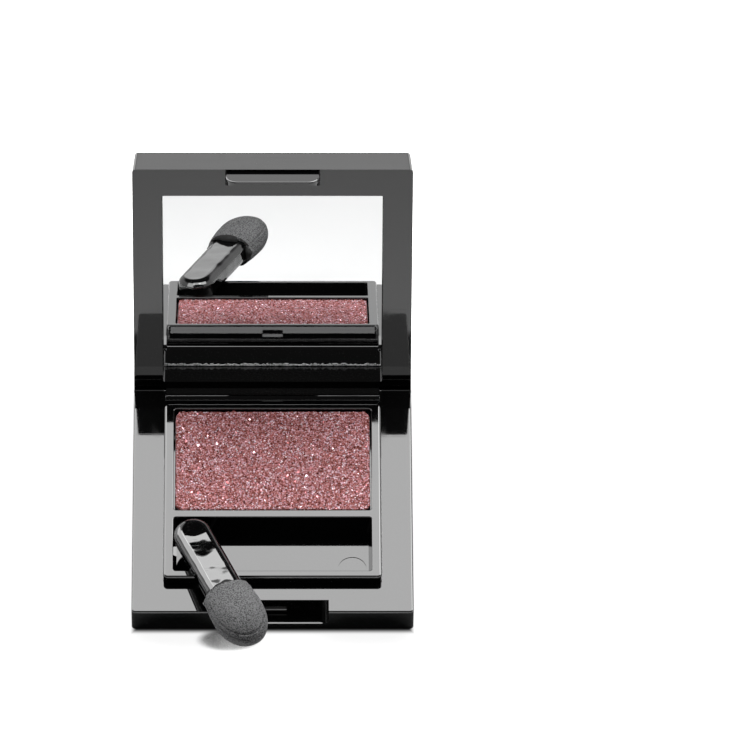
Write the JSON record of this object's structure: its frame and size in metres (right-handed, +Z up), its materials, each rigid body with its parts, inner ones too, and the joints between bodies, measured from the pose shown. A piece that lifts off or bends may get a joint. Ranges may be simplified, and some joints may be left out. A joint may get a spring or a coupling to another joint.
{
  "type": "eyeshadow palette",
  "caption": "Square hinged compact holding a pan of pressed eyeshadow, with a mirror in its leaning lid and a sponge applicator lying across the tray's front rim.",
  "frame": {"origin": "middle of the base's flat underside, on the surface it stands on", "axes": "+Z up, +X to the right seen from the latch side, -Y towards the latch and +Y towards the hinge"},
  "size_m": [0.053, 0.0905, 0.05],
  "materials": {
    "case_plastic": "polished black moulding",
    "tray_plastic": "polished black moulding",
    "pan_metal": "thin pressed tinplate",
    "pressed_powder": "pressed powder with glitter",
    "glue": "set hot-melt glue",
    "pin_steel": "plain drawn wire",
    "mirror": "silvered glass",
    "tape": "double-sided foam tape",
    "handle_plastic": "polished black moulding",
    "foam": "fine open-cell foam"
  },
  "bodies": {
    "base": {"base_shell": "case_plastic", "tray_insert": "tray_plastic", "shadow_pan": "pan_metal", "eyeshadow_cake": "pressed_powder", "pan_glue": "glue", "hinge_pin_left": "pin_steel", "hinge_pin_right": "pin_steel"},
    "lid": {"lid_shell": "case_plastic", "mirror_glass": "mirror", "mirror_tape": "tape"},
    "applicator": {"applicator_handle": "handle_plastic", "applicator_sponge": "foam"}
  },
  "joints": [
    {"name": "lid_hinge", "type": "hinge", "parent": "base", "child": "lid", "pos_m": [0, 0.0243, 0.00302], "axis": [1, 0, 0], "range_deg": [0, 110.8]},
    {"name": "applicator_lift", "type": "slide", "parent": "base", "child": "applicator", "axis": [0.3725, -0.9037, 0.2113], "range_m": [0, 0.045]}
  ],
  "couplings": [
    {"joint": "applicator_lift", "follows": "lid_hinge", "m_per_rad": 0.0231}
  ]
}
